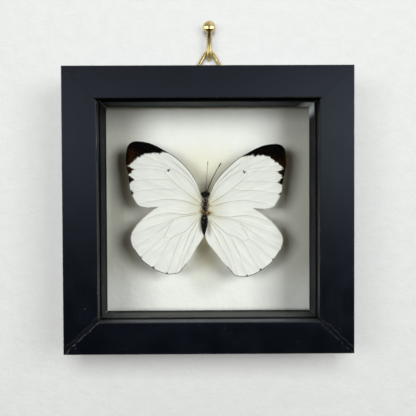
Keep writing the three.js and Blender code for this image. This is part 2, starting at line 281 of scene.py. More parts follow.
def modify(piece, kind, **settings):
    """Applies a modifier to a piece."""
    modifier = piece.modifiers.new(kind.lower(), kind)
    for name, value in settings.items():
        setattr(modifier, name, value)
    bpy.context.view_layer.objects.active = piece
    bpy.ops.object.modifier_apply(modifier=modifier.name)


def new_piece(name, kind, place=(0, 0, 0), scale=(1, 1, 1), **settings):
    """Adds a primitive at a place in millimetres and puts its place, turn and scale in its mesh."""
    select()
    getattr(bpy.ops.mesh, f"primitive_{kind}_add")(location=[v * mm for v in place], **settings)
    piece = bpy.context.object
    piece.name = piece.data.name = name
    piece.scale = scale
    settle(piece, 0)
    return piece


def settle(piece, angle=30, flat_faces=False):
    """Leaves edit mode, puts the piece's place in its mesh and shades it smooth up to an angle.

    With flat_faces, only the small faces along the edges turn the light, and the large ones stay flat.
    """
    select(piece)
    bpy.ops.object.transform_apply(location=True, rotation=True, scale=True)
    if angle:
        bpy.ops.object.shade_smooth_by_angle(angle=math.radians(angle))
    if flat_faces:
        modify(piece, "WEIGHTED_NORMAL", keep_sharp=True)


def stands_for(piece, material, slot, *nodes):
    """Gives a finished piece its material, its body and the nodes that it replaces."""
    if material:
        piece.data.materials.clear()
        piece.data.materials.append(material)
    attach(piece, "root")
    if nodes:
        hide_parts(*nodes)


def dress(material, *nodes):
    """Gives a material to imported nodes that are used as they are."""
    for node in nodes:
        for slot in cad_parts[node].material_slots:
            slot.material = material


paint_across = painted("paint_cross_rails", (0.06, 1.6, 1.6))
paint_upright = painted("paint_side_rails", (1.6, 1.6, 0.06))
paint_within = painted("dull_paint_under_top_rail", (1.6, 1.6, 1.6), 0.0)
cross = dict(length=frame_width, reach=frame_height / 2, face=cross_face, end_face=side_face, paint=paint_across)
upright = dict(length=frame_height, reach=frame_width / 2, face=side_face, end_face=cross_face, paint=paint_upright)
rails = {
    "top": dict(turn=0, grooves=(0.05, 0.05), **cross),
    "left": dict(turn=90, grooves=(0.22, 0.05), **upright),
    "bottom": dict(turn=180, grooves=(0.08, 0.1), **cross),
    "right": dict(turn=-90, grooves=(0.05, 0.1), **upright),
}
for name, rail in rails.items():
    length, reach, face, end_face = rail["length"], rail["reach"], rail["face"], rail["end_face"]
    piece = new_piece(
        "painted_rail_" + name,
        "cube",
        (0, frame_front + lip_depth / 2, reach - face / 2),
        (length * mm, lip_depth * mm, face * mm),
        size=1,
    )
    edit(piece)
    split = reach - face + rebate_width
    bisect((0, 0, split), (0, 0, 1), clear=False)
    pick("faces", lambda f: f.normal.y > 0.9 and f.calc_center_median().z > split * mm)
    extrude(0, frame_back - frame_front - lip_depth, 0)
    for end in (-1, 1):
        bisect((end * (length / 2 - 0.01), 0, reach), (end * face, 0, -end_face))
    front = (frame_front + 0.001) * mm
    for width, steps, along_edge in (
        (0.5, 3, lambda v: v.co.y < front and abs(v.co.z - reach * mm) < 1e-5),
        (0.55, 4, lambda v: v.co.y < front and abs(v.co.z - (reach - face) * mm) < 1e-5),
        (0.3, 2, lambda v: v.co.y > (frame_back - 0.01) * mm),
    ):
        pick("edges", lambda e: abs(e.verts[0].co.x - e.verts[1].co.x) > 0.05 and all(map(along_edge, e.verts)))
        bpy.ops.mesh.bevel(offset=width * mm, segments=steps, profile=0.5, clamp_overlap=True)
    # The mitres have opened at the front into fine grooves
    for end, groove in zip((-1, 1), rail["grooves"]):
        pick(
            "edges",
            lambda e: all(v.co.y < front for v in e.verts)
            and len(e.link_faces) == 2
            and max(end * f.normal.x for f in e.link_faces) > 0.5
            and min(f.normal.y for f in e.link_faces) < -0.9,
        )
        bpy.ops.mesh.bevel(offset=groove * mm, segments=1, profile=0.5)
    bpy.ops.object.mode_set(mode="OBJECT")
    piece.rotation_euler = (0, math.radians(-rail["turn"]), 0)
    piece.location = (frame_x * mm, 0, frame_z * mm)
    settle(piece, 30, flat_faces=True)
    stands_for(piece, rail["paint"], "black_paint", "rail_" + name)
    if name == "top":
        piece.data.materials.append(paint_within)
        for side in piece.data.polygons:
            on_lip = side.center.y < (frame_front + lip_depth) * mm
            if on_lip and side.normal.z < -0.8:
                side.material_index = 1

# Panes
# Two sheets of 2 mm float glass, cut to fit the rebate. The front one lies against the back of the lip.
nodes = Nodes("float_glass")
clear = nodes.add("BsdfTransparent", {}, {"Color": (0.994, 0.997, 0.991)})
shine = nodes.add("BsdfGlossy", {}, {"Color": (1, 1, 1), "Roughness": 0.03})
smears = nodes.grain((0.05, 0.05, 0.09), 4, 0.6)
reflected = nodes.add("Fresnel", {}, {"IOR": 1.45}) - nodes.step(smears, 0.3, 0.7, 0.0337, 0.033)
entering = 1.0 - nodes.add("NewGeometry", {}, {}, "Backfacing")
reflected = reflected.math("MAXIMUM", reflected, 0.0) * entering
pane = nodes.end(nodes.add("MixShader", {}, {0: reflected, 1: clear, 2: shine}))
dress(pane, "front_glass", "back_glass")

# Spacers
# Four strips of thin wood, stained black, that line the frame between the panes and hold them apart.
nodes = Nodes("black_stained_strip")
x, y, z = nodes.split(nodes.place(1.0, (frame_x, 0, frame_z)))
grain = nodes.grain((0.9, 0.15, 0.9), 4, 0.6)
cloudy = nodes.grain(0.09, 3)
scuffs = nodes.step(nodes.grain((0.5, 2.5, 0.5), 3, 0.7), 0.62, 0.72)
tone = nodes.blend(nodes.step(cloudy, 0.35, 0.65), (0.015, 0.018, 0.021), (0.028, 0.031, 0.034))
# Painted light: the lower strip, which faces up to the light, is paler in its middle, and the upper one has a painted
# bluish sheen. The side ones darken upwards
lit_lower_strip = nodes.step(z, -44, -47, 0, 0.8) * nodes.step(abs(x), 47, 28, 0.25, 1)
tone = nodes.blend(lit_lower_strip, tone, (0.14, 0.14, 0.128))
tone = nodes.blend(scuffs * 0.3, tone, (0.08, 0.08, 0.072))
tone = nodes.blend(nodes.step(z, 24, 43) * 0.7, tone, (0.003, 0.004, 0.006))
# Painted sheen: the upper strip is paler and bluish along its middle
sheen_under_top = nodes.step(z, 44.5, 45.3) * nodes.step(abs(x), 46, 30, 0.35, 1)
tone = nodes.blend(sheen_under_top * 0.85, tone, (0.044, 0.064, 0.084))
# Painted shade: the strips are black along both panes, where the gaps at the lip and behind lie in shade
edges = nodes.step(y, -15.5, -13.5) + nodes.step(y, -26.0, -25.2, 1, 0)
tone = nodes.blend(edges.math("MINIMUM", edges, 0.9), tone, (0.002, 0.002, 0.002))
# Painted reflection: one upper corner of the strips is pale and bluish
corner_reflection = nodes.step(x + z, 84.5, 89.0) * nodes.step(y, -24.5, -21)
tone = nodes.blend(corner_reflection * 0.95, tone, (0.72, 0.76, 0.82))
stain = nodes.finish(
    Base_Color=tone, Roughness=0.5 + grain * 0.25, Normal=nodes.bump(grain, 0.08), Specular_IOR_Level=0.05
)
dress(stain, *("spacer_" + name for name in rails))

# Butterfly's body
# Head, thorax and abdomen of a dried specimen: a dark hard skin under scales and hair, with bulging eyes.
# The body is round and deeper than wide, and the abdomen shows its rings.
body_x, body_y, body_z = -2.3, -12.4, -66.2
body_tilt = 0.042
body_deep = 1.4
body_profile = [
    (5.35, 0.0), (5.25, 0.55), (4.9, 0.95), (4.3, 1.2), (3.7, 1.2), (3.2, 1.0), (2.8, 0.95), (2.3, 1.05),
    (1.6, 1.2), (0.6, 1.3), (-0.6, 1.32), (-1.8, 1.3), (-2.9, 1.2), (-3.8, 1.05), (-4.6, 0.96), (-5.1, 1.0),
    (-5.7, 1.16), (-6.5, 1.38), (-7.5, 1.48), (-8.8, 1.46), (-10.2, 1.24), (-11.6, 1.0), (-12.8, 0.74),
    (-13.6, 0.48), (-14.05, 0.25), (-14.2, 0.0),
]  # fmt: skip


def body_point(along, sideways, deep):
    """A point given in the body's own directions: towards the head, towards +X and away from the front."""
    x = sideways * math.cos(body_tilt) + along * math.sin(body_tilt)
    z = along * math.cos(body_tilt) - sideways * math.sin(body_tilt)
    return Vector((body_x + x, body_y + deep, body_z + z)) * mm


def curved(points, count):
    """Points evenly spread on the smooth curve through the given ones."""
    given = np.array(points, float)
    given = np.vstack([2 * given[0] - given[1], given, 2 * given[-1] - given[-2]])
    fine = []
    for i in range(1, len(given) - 2):
        a, b, c, d = given[i - 1 : i + 3]
        for t in np.linspace(0, 1, 24, endpoint=False):
            squared, cubed = 2 * a - 5 * b + 4 * c - d, 3 * b - a - 3 * c + d
            fine.append(0.5 * (2 * b + (c - a) * t + squared * t**2 + cubed * t**3))
    fine = np.array(fine + [given[-2]])
    gone = np.concatenate([[0], np.cumsum(np.linalg.norm(np.diff(fine, axis=0), axis=1))])
    where = np.linspace(0, gone[-1], count)
    return np.stack([np.interp(where, gone, fine[:, i]) for i in range(fine.shape[1])], 1)


def points_of(piece):
    flat = np.empty(len(piece.data.vertices) * 3)
    piece.data.vertices.foreach_get("co", flat)
    return flat.reshape(-1, 3)


def laid_grid(name, columns, rows, point):
    """A grid primitive whose vertex at each column and row is laid at the given point, in metres."""
    piece = new_piece(name, "grid", x_subdivisions=columns - 1, y_subdivisions=rows - 1, size=1)
    flat = points_of(piece)
    column = np.rint((flat[:, 0] + 0.5) * (columns - 1)).astype(int)
    row = np.rint((flat[:, 1] + 0.5) * (rows - 1)).astype(int)
    laid = np.array([point(c, r) for c, r in zip(column, row)])
    piece.data.vertices.foreach_set("co", laid.ravel())
    return piece


def outward(piece, merge=0.004):
    """Merges doubled vertices and turns the faces outwards."""
    edit(piece)
    bpy.ops.mesh.remove_doubles(threshold=merge * mm)
    bpy.ops.mesh.normals_make_consistent(inside=False)
    bpy.ops.object.mode_set(mode="OBJECT")


def joined(name, pieces):
    """Joins pieces into the first one."""
    select(*pieces)
    bpy.ops.object.join()
    pieces[0].name = pieces[0].data.name = name
    return pieces[0]


body_rows, body_columns = 150, 57
body_line = curved(body_profile, body_rows)
waist, tail = -5.6, -13.6


def on_body(column, row):
    along, half = body_line[row]
    turn = 2 * math.pi * column / (body_columns - 1)
    if tail < along < waist:
        half += 0.09 * abs(math.sin((along - waist) * math.pi / 1.15)) ** 0.4 - 0.07
    lumps = 0.05 * math.sin(3 * turn + along * 2.1) * math.sin(along * 1.7) * min(1, half)
    half = max(0, half + lumps)
    return body_point(along, half * math.sin(turn), -half * body_deep * math.cos(turn))


trunk = laid_grid("trunk", body_columns, body_rows, on_body)
outward(trunk, 0.01)
parts = [trunk]
for side in (-1, 1):
    # Eye, palp beside the mouth, and the collar's lobe behind the head
    for along, sideways, deep, size in (
        (4.25, 1.28, -0.25, (0.72, 1.05, 0.85)),
        (5.1, 0.3, -0.5, (0.24, 0.4, 0.5)),
        (2.95, 0.55, -1.0, (0.5, 0.35, 0.4)),
    ):
        place = body_point(along, side * sideways, deep) / mm
        parts.append(new_piece("lobe", "uv_sphere", place, size, segments=28, ring_count=18, radius=mm))
trunk = joined("butterfly_trunk", parts)
nodes = Nodes("dark_scaled_skin")
x, _, z = nodes.split(nodes.place(1.0, (body_x, body_y, body_z)))
scales = nodes.grain(5.5, 3, 0.65)
dusting = nodes.step(nodes.grain(2.0, 3, 0.7), 0.6, 0.66)
on_thorax = nodes.step(z, -5.0, -3.6) * nodes.step(z, 2.2, 3.4, 1, 0)
furred = nodes.step(abs(x), 0.25, 0.9) * on_thorax
tone = nodes.blend(nodes.step(scales, 0.4, 0.75), (0.001, 0.0009, 0.0008), (0.005, 0.0045, 0.004))
# Pale scales dust the skin. Along the ridge that faces the front they lie thicker, as a painted highlight
ridge = nodes.step(abs(x - z * body_tilt), 0.15, 0.8, 1, 0.3)
tone = nodes.blend(dusting * ridge, tone, (0.42, 0.41, 0.38))
tone = nodes.blend(furred * nodes.step(scales, 0.42, 0.6, 0, 0.6), tone, (0.07, 0.058, 0.04))
skin = nodes.finish(
    Base_Color=tone,
    Roughness=nodes.step(scales, 0.3, 0.7, 0.42, 0.75),
    Normal=nodes.bump(scales + dusting * 0.5, 0.14),
    Specular_IOR_Level=0.2,
)
settle(trunk, 60)
stands_for(trunk, skin, "insect_body", "butterfly_body")


def strands(name, lines, roundness):
    """Thin round strands, each a line of (point in metres, radius in millimetres), as one mesh."""
    curve = bpy.data.curves.new(name, "CURVE")
    curve.dimensions = "3D"
    curve.bevel_depth = mm
    curve.bevel_resolution = roundness
    curve.use_fill_caps = True
    for line in lines:
        spline = curve.splines.new("POLY")
        spline.points.add(len(line) - 1)
        for target, (point, radius) in zip(spline.points, line):
            target.co = (*point, 1)
            target.radius = radius
    piece = bpy.data.objects.new(name, curve)
    bpy.context.scene.collection.objects.link(piece)
    select(piece)
    bpy.ops.object.convert(target="MESH")
    piece = bpy.context.object
    piece.name = piece.data.name = name
    return piece


# Hair
# The thorax and the wings' roots are furred with grey-brown hair, and tufts of golden hair stand at the joints of
# the hindwings. The abdomen has short dark hair along its sides.
chance = random.Random(7)


def hair(along, sideways, deep, direction, length, radius):
    """One hair, which droops backwards as it leaves the body, given in the body's own directions."""
    line = []
    here = Vector((along, sideways, deep))
    heading = Vector(direction).normalized()
    for i in range(5):
        line.append((body_point(*here), radius * (1 - 0.22 * i)))
        here = here + heading * (length / 4)
        heading = (heading + Vector((-0.16, 0, 0))).normalized()
    return line


def half_width(along):
    return float(np.interp(-along, -body_line[:, 0], body_line[:, 1]))


def coat(count, low, high, spread, length, lean, radius):
    """Hairs on the body between two places along it, spread in an angle round it from its sides."""
    lines = []
    for _ in range(count):
        along = chance.uniform(low, high)
        side = chance.choice((-1, 1))
        turn = math.radians(90 - chance.triangular(-30, spread, 20))
        half = half_width(along) * 0.97
        out = Vector((0, side * math.sin(turn), -math.cos(turn)))
        direction = out + Vector((lean + chance.gauss(0, 0.25), chance.gauss(0, 0.2), chance.gauss(0, 0.2)))
        lines.append(
            hair(along, half * out.y, half * body_deep * out.z, direction, length * chance.uniform(0.5, 1.2), radius)
        )
    return lines


def fur(name, tint, dark):
    """Hair of one colour, with a little variation from tuft to tuft."""
    nodes = Nodes(name)
    tone = nodes.blend(nodes.step(nodes.grain(1.5), 0.47, 0.56), dark, tint)
    return nodes.finish(Base_Color=tone, Roughness=0.55, Specular_IOR_Level=0.4)


tan_hair = strands("thorax_hair", coat(430, -4.6, 3.2, 84, 1.2, -0.8, 0.06), 0)
stands_for(tan_hair, fur("tan_fur", (0.68, 0.6, 0.45), (0.012, 0.01, 0.008)), "insect_body")
short_hair = coat(210, -12.6, -5.2, 60, 0.4, -1.5, 0.045) + coat(130, 3.0, 4.9, 70, 0.3, 0.2, 0.04)
dark_hair = strands("abdomen_hair", short_hair, 0)
stands_for(dark_hair, fur("dark_fur", (0.07, 0.05, 0.032), (0.004, 0.003, 0.002)), "insect_body")
tufts = []
for side, along, reach, count in (
    (-1, -3.5, 1.5, 34), (-1, -5.0, 1.0, 16), (1, -4.3, 3.6, 34), (1, -5.0, 1.7, 28), (-1, -0.8, 2.0, 12),
    (1, -1.2, 2.4, 14),
):  # fmt: skip
    for _ in range(count):
        start = along + chance.gauss(0, 0.4)
        aim = Vector((0.25 + chance.gauss(0.1, 0.3), side, -0.25 + chance.gauss(0, 0.25)))
        tufts.append(hair(start, side * half_width(start) * 0.8, -0.9, aim, reach * chance.uniform(0.35, 1.2), 0.065))
for start, end in ((-3.1, -4.7), (-3.5, -4.5)):
    second, third = (start * 2 + end) / 3, (start + end * 2) / 3
    across_waist = [(start, -1.25, -0.9), (second, -0.5, -1.6), (third, 0.5, -1.6), (end, 1.3, -0.9)]
    tufts.append([(body_point(*spot), 0.07) for spot in across_waist])
golden_hair = strands("golden_tufts", tufts, 0)
stands_for(golden_hair, fur("golden_fur", (0.78, 0.52, 0.14), (0.13, 0.065, 0.018)), "insect_body")

# Wings
# Thin membranes stiffened by branching veins and covered with powdery scales, white with a sooty tip on the
# forewings, faintly pleated between the veins. Each grows from the thorax, and the forewing lies over the hindwing.
fore_margin = [
    (-0.7, 0.0), (-0.4, 2.4), (0.2, 4.4), (0.7, 6.3), (1.9, 9.5), (4.5, 14.0), (8.1, 18.1), (11.7, 21.2),
    (15.3, 23.4), (19.8, 26.0), (22.9, 27.3), (26.9, 28.0), (29.6, 27.9), (31.4, 26.9), (32.5, 24.9), (33.0, 21.0),
    (32.8, 17.2), (31.8, 11.9), (31.4, 7.9), (30.5, 4.7), (28.3, 0.8), (26.9, -0.5), (23.1, -1.1), (18.6, -1.0),
    (8.0, -1.6), (-0.5, -1.8), (-0.7, 0.0),
]  # fmt: skip
hind_margin = [
    (-0.9, 2.2), (3.0, 2.5), (9.0, 2.9), (15.0, 2.9), (18.7, 1.6), (21.9, -0.4), (24.6, -2.7), (27.3, -5.1),
    (29.6, -8.1), (30.9, -10.8), (31.0, -13.5), (29.8, -16.7), (26.9, -21.0), (24.3, -23.5), (21.3, -25.5),
    (18.8, -26.9), (15.3, -28.1), (12.5, -28.1), (9.8, -27.4), (8.5, -26.0), (5.3, -21.7), (2.1, -16.6),
    (-1.0, -11.6), (-1.3, -7.5), (-1.2, -3.0), (-0.9, 2.2),
]  # fmt: skip
forewing = dict(
    outline=fore_margin,
    hub=(17, 10),
    veins=[
        [(-0.5, 0.2), (0.3, 0.8), (3.2, 2.8), (8.6, 7.1), (12.9, 10.9), (16.0, 14.4)],
        [(9.1, 7.4), (12.0, 6.9), (15.4, 6.9), (19.9, 6.9), (24.4, 6.4), (30.9, 5.5)],
        [(12.9, 10.9), (16.3, 11.1), (20.8, 11.1), (24.4, 11.0), (31.6, 10.4)],
        [(15.8, 14.5), (18.9, 15.5), (24.3, 15.9), (32.3, 15.6)],
        [(14.4, 15.9), (18.5, 16.8), (22.5, 17.4), (27.5, 18.0), (32.8, 19.0)],
        [(13.5, 16.4), (18.0, 18.6), (22.0, 20.3), (27.0, 22.3), (32.4, 24.6)],
        [(11.3, 17.6), (14.4, 19.9), (17.5, 21.9), (22.0, 24.2), (27.5, 27.0)],
        [
            (-0.3, 1.4), (0.2, 3.2), (1.9, 7.7), (4.8, 12.0), (7.7, 14.9), (10.8, 17.6), (13.5, 20.4), (16.6, 22.7),
            (20.5, 25.5),
        ],
        [(2.7, 9.1), (6.3, 14.0), (9.9, 17.4), (12.4, 18.9)],
        [(-0.2, 0.9), (0.4, 2.6), (2.6, 7.2), (5.6, 11.0), (9.6, 14.2), (13.5, 16.4)],
        [(13.5, 16.4), (14.4, 15.6), (16.0, 14.4)],
        [(-0.6, -0.7), (0.1, -0.6), (2.8, 0.0), (6.4, 1.4), (10.9, 2.2), (15.4, 2.4), (20.8, 1.7), (27.6, 0.2)],
    ],
    edge=[(-0.35, 2.0), *fore_margin[2:10]],
    spots=[(13.8, 15.45, 0.3), (14.3, 14.95, 0.42)],
    fold=[(-9, -9), (-9, -8)],
)
hindwing = dict(
    outline=hind_margin,
    hub=(8, -7),
    veins=[
        [(-0.8, -0.7), (1.6, -1.0), (7.3, -1.8), (11.4, -1.3), (15.9, -1.1), (22.2, -2.9), (27.6, -5.4)],
        [(0.4, -1.5), (2.6, -1.9), (6.4, -2.4), (10.0, -3.1), (16.4, -5.4), (23.6, -7.9), (30.8, -11.0)],
        [(12.1, -3.9), (15.5, -6.8), (22.3, -11.7), (29.7, -16.5)],
        [(12.1, -3.9), (13.9, -6.8), (15.4, -9.6), (16.2, -11.7)],
        [(12.8, -12.0), (14.5, -12.1), (16.2, -11.7), (20.5, -14.9), (26.8, -20.9)],
        [(-0.4, -1.6), (1.2, -3.2), (3.7, -5.9), (6.9, -9.1), (12.8, -12.0), (16.9, -18.5), (21.3, -25.5)],
        [(8.3, -10.2), (11.0, -16.3), (13.3, -22.6), (15.1, -28.0)],
        [(-0.6, -2.0), (0.9, -4.0), (3.2, -7.4), (5.1, -10.4), (7.9, -17.7), (10.2, -24.0), (11.3, -27.8)],
        [(-0.8, -2.4), (0.4, -5.0), (2.3, -9.6), (4.7, -15.4), (7.4, -21.3), (8.8, -26.1)],
    ],
    edge=[*hind_margin[11:20], (6.6, -23.5)],
    spots=[(26.7, -20.7, 0.4), (21.2, -25.2, 0.5), (15.2, -27.8, 0.42)],
    fold=[(0.1, -3.8), (0.2, -8.0), (0.1, -11.6)],
)
left_tip = [
    (13.0, 23.0), (15.1, 22.9), (17.2, 23.2), (18.0, 22.4), (19.2, 23.0), (19.8, 22.6), (20.6, 23.1), (21.1, 22.8),
    (23.4, 22.5), (24.4, 22.6), (25.6, 21.8), (26.2, 21.9), (27.2, 20.7), (27.9, 20.9), (28.6, 19.5), (29.2, 19.6),
    (30.4, 18.5), (31.9, 17.3), (30.6, 16.5), (29.1, 15.7), (30.4, 14.9), (31.8, 13.2), (30.6, 12.2), (28.9, 11.0),
    (30.0, 10.6), (31.2, 9.6), (31.5, 7.6), (30.9, 6.5), (29.3, 5.3), (30.4, 4.5), (31.2, 3.6),
]  # fmt: skip
right_tip = [
    (12.0, 22.2), (14.0, 22.2), (16.7, 22.5), (17.9, 22.8), (19.0, 22.0), (20.2, 22.8), (21.3, 22.6), (22.6, 22.9),
    (24.0, 22.3), (24.8, 22.5), (25.9, 21.8), (26.7, 21.4), (27.8, 20.0), (28.6, 19.9), (30.1, 18.5), (31.7, 17.3),
    (30.4, 16.4), (29.0, 15.6), (30.2, 14.8), (31.6, 13.1), (30.6, 12.0), (29.1, 10.7), (30.2, 10.3), (31.2, 9.4),
    (31.4, 7.5), (31.0, 6.4), (29.7, 5.3), (30.4, 4.5), (31.2, 3.6),
]  # fmt: skip


def distance_to(points, line):
    """The distance from each point to a line through several points."""
    best = np.full(len(points), 1e9)
    for a, b in zip(line[:-1], line[1:]):
        run = b - a
        t = np.clip(((points - a) @ run) / max(run @ run, 1e-12), 0, 1)
        best = np.minimum(best, np.linalg.norm(points - a - t[:, None] * run, axis=1))
    return best


def inside(points, ring):
    """Whether each point lies inside a closed ring."""
    result = np.zeros(len(points), bool)
    for a, b in zip(ring, np.roll(ring, -1, axis=0)):
        crosses = (a[1] > points[:, 1]) != (b[1] > points[:, 1])
        with np.errstate(divide="ignore", invalid="ignore"):
            where = (b[0] - a[0]) * (points[:, 1] - a[1]) / (b[1] - a[1]) + a[0]
        result ^= crosses & (points[:, 0] < where)
    return result


def relief(points, veins):
    """How far a wing's surface stands forward of its plane, in millimetres."""
    reach = np.linalg.norm(points, axis=1)
    bend = 0.45 * np.sin(np.clip(reach / 34, 0, 1) * math.pi)
    near = np.min([distance_to(points, vein) for vein in veins], axis=0)
    pleat = 0.11 * np.exp(-((near / 0.7) ** 2)) - 0.05 * np.exp(-(((near - 1.5) / 0.6) ** 2))
    angle = np.arctan2(points[:, 1], points[:, 0])
    folds = 0.035 * np.sin(angle * 46 + np.sin(reach * 0.35)) * np.clip(reach / 12, 0, 1)
    return (bend + pleat + folds) * np.clip(reach / 5, 0.25, 1)


def wing(name, shape, tip, side, root, turn, size, inner, plane):
    """A wing's membrane with its veins. Its shape is given as outwards from the root and up."""

    def put(points):
        moved = np.array(points, float)
        moved[:, 0] -= inner * np.clip(1 - moved[:, 0] / 7, 0, 1)
        spun = moved @ np.array([[math.cos(turn), math.sin(turn)], [-math.sin(turn), math.cos(turn)]]) * size
        return np.stack([root[0] + side * spun[:, 0], root[1] + spun[:, 1]], 1)

    def mark(piece):
        """How far each point is from the sooty tip's edge and from a dot, and its ray and reach from the root."""
        seen = points_of(piece)[:, (0, 2)] / mm
        spun = np.stack([side * (seen[:, 0] - root[0]), seen[:, 1] - root[1]], 1) / size
        own = spun @ np.array([[math.cos(turn), -math.sin(turn)], [math.sin(turn), math.cos(turn)]])
        own[:, 0] = np.where(own[:, 0] < 7, (own[:, 0] + inner) / (1 + inner / 7), own[:, 0])
        edge = np.full(len(own), -5.0)
        if tip:
            line = np.array(tip, float)
            ring = np.vstack([line, [(36, 2), (40, 20), (36, 34), (12, 32)]])
            edge = distance_to(own, line) * np.where(inside(own, ring), 1, -1)
        dots = np.min([np.hypot(own[:, 0] - x, own[:, 1] - y) / r for x, y, r in shape["spots"]], axis=0)
        ray = np.degrees(np.arctan2(own[:, 1], own[:, 0] + 1))
        fold = distance_to(own, np.array(shape["fold"], float))
        labels = {"tip": edge, "dots": dots, "ray": ray, "reach": np.hypot(*own.T), "fold": fold}
        for label, values in labels.items():
            piece.data.attributes.new(label, "FLOAT", "POINT").data.foreach_set("value", values.astype(np.float32))

    columns, rows = 300, 64
    margin = curved(shape["outline"], columns)
    steps = np.arange(columns)
    frayed_x = np.sin(steps * 1.9) + np.sin(steps * 0.61)
    frayed_z = np.cos(steps * 2.3) + np.sin(steps * 0.83)
    margin += 0.022 * np.stack([frayed_x, frayed_z], 1)
    margin[-1] = margin[0]
    hub = np.array(shape["hub"])
    share = (np.arange(rows) / (rows - 1)) ** 0.85
    flat = hub + (margin[:, None] - hub) * share[None, :, None]
    cells = flat.reshape(-1, 2)
    veins = [curved(vein, 40) for vein in shape["veins"]]
    placed = put(cells)
    height = relief(cells, veins).reshape(columns, rows)
    placed = placed.reshape(columns, rows, 2)
    sheet = laid_grid(
        name + "_sheet",
        columns,
        rows,
        lambda c, r: (placed[c, r, 0] * mm, (plane - height[c, r]) * mm, placed[c, r, 1] * mm),
    )
    mark(sheet)
    outward(sheet)
    if sum(p.normal.y * p.area for p in sheet.data.polygons) > 0:
        sheet.data.flip_normals()
    modify(sheet, "SOLIDIFY", thickness=0.1 * mm, offset=-1)

    def laid_on(line, sunk, radius):
        """A strand along a line on the wing, whose radius follows from its reach and its count."""
        return [
            (Vector((s[0], plane - h + sunk, s[1])) * mm, radius(d, i))
            for i, (s, h, d) in enumerate(zip(put(line), relief(line, veins), np.linalg.norm(line, axis=1)))
        ]

    # Veins stand up as fine tubes that taper towards the margin
    def vein_radius(reach, i):
        return max(0.055, 0.145 - 0.0032 * reach) * min(1, 0.3 + i / 8)

    tubes = strands(name + "_veins", [laid_on(vein, 0.02, vein_radius) for vein in veins], 1)
    mark(tubes)
    rim_line = laid_on(curved(shape["edge"], 60), 0.03, lambda reach, i: 0.13 * min(1, 0.2 + reach / 16))
    return sheet, tubes, strands(name + "_rim", [rim_line], 1)


def powdered(name, seed):
    """White powdery scales with a sooty tip, dark dots, faint grey pleats, a cream root and painted shade along the
    hindwing's fold.
    """
    nodes = Nodes(name)
    ray, reach, tip, dots, fold = map(nodes.marked, ("ray", "reach", "tip", "dots", "fold"))
    rays = nodes.add("CombineXYZ", {}, {0: ray * 0.33, 1: reach * 0.07, 2: seed})
    streaks = nodes.noise(rays, 3, 0.55)
    fine = nodes.grain(7.0)
    soft = nodes.grain(0.22)
    white = nodes.blend(nodes.step(streaks, 0.36, 0.7), (0.72, 0.73, 0.69), (0.81, 0.805, 0.75))
    white = nodes.blend(nodes.step(soft, 0.35, 0.7) * 0.4, white, (0.705, 0.718, 0.672))
    white = nodes.blend(nodes.step(reach, 1.0, 9.0, 0.75, 0), white, (0.62, 0.61, 0.47))
    # Painted shade: the hindwing is shaded grey-brown along its fold beside the abdomen
    fold_shade = nodes.step(fold, 0.0, 1.4, 0.75, 0) * nodes.step(reach, 11.5, 7.5)
    white = nodes.blend(fold_shade, white, (0.24, 0.225, 0.17))
    specks = nodes.step(fine, 0.62, 0.72) * nodes.step(reach, 2.0, 6.5, 0.45, 0)
    white = nodes.blend(specks, white, (0.16, 0.14, 0.1))
    barbs = nodes.add("CombineXYZ", {}, {0: ray * 1.7, 1: reach * 0.25, 2: seed})
    ragged = tip + (fine - 0.5) * 0.5 + (nodes.noise(barbs, 2) - 0.5) * 2.2
    sooty = nodes.step(ragged, -0.2, 0.2)
    brown = nodes.step(nodes.grain((0.35, 0.35, 0.12), 3), 0.36, 0.6)
    brown = brown * nodes.step(reach, 28, 32) * nodes.step(ray, 41, 34)
    soot = nodes.blend(brown, (0.001, 0.0006, 0.0005), (0.017, 0.0062, 0.0015))
    tone = nodes.blend(sooty, white, soot)
    tone = nodes.blend(nodes.step(dots + (fine - 0.5) * 0.6, 0.7, 1.4, 0.92, 0), tone, (0.01, 0.009, 0.008))
    # The membrane lets a little light through to what's behind it
    shaded = nodes.add("LightPath", {}, {}, "Is Shadow Ray")
    return nodes.finish(
        Base_Color=tone,
        Roughness=nodes.step(sooty, 0, 1, 0.75, 0.6),
        Normal=nodes.bump(streaks * 0.8 + fine * 0.35, 0.09),
        Specular_IOR_Level=0.07,
        Alpha=1.0 - shaded * 0.68,
    )


def veined(name):
    """Veins are ochre at the root and pale grey-tan further out, and as dark as the tip and the dots they cross."""
    nodes = Nodes(name)
    reach, tip, dots = map(nodes.marked, ("reach", "tip", "dots"))
    mottled = nodes.grain(1.2)
    far = nodes.blend(mottled, (0.36, 0.34, 0.26), (0.52, 0.51, 0.43))
    tone = nodes.blend(nodes.step(reach, 1.5, 10.5), (0.34, 0.28, 0.15), far)
    dark = nodes.step(tip, -0.15, 0.1)
    dark = dark.math("MAXIMUM", dark, nodes.step(dots, 1.0, 2.2, 0.9, 0))
    tone = nodes.blend(dark, tone, (0.006, 0.004, 0.003))
    return nodes.finish(Base_Color=tone, Roughness=0.55, Specular_IOR_Level=0.3)


nodes = Nodes("dark_wing_rim")
away = nodes.distance(nodes.place((1, 0, 1), (body_x, 0, body_z)))
tone = nodes.blend(nodes.step(away, 4.0, 14.0), (0.15, 0.14, 0.11), (0.01, 0.008, 0.007))
rim_material = nodes.finish(Base_Color=tone, Roughness=0.6, Specular_IOR_Level=0.3)

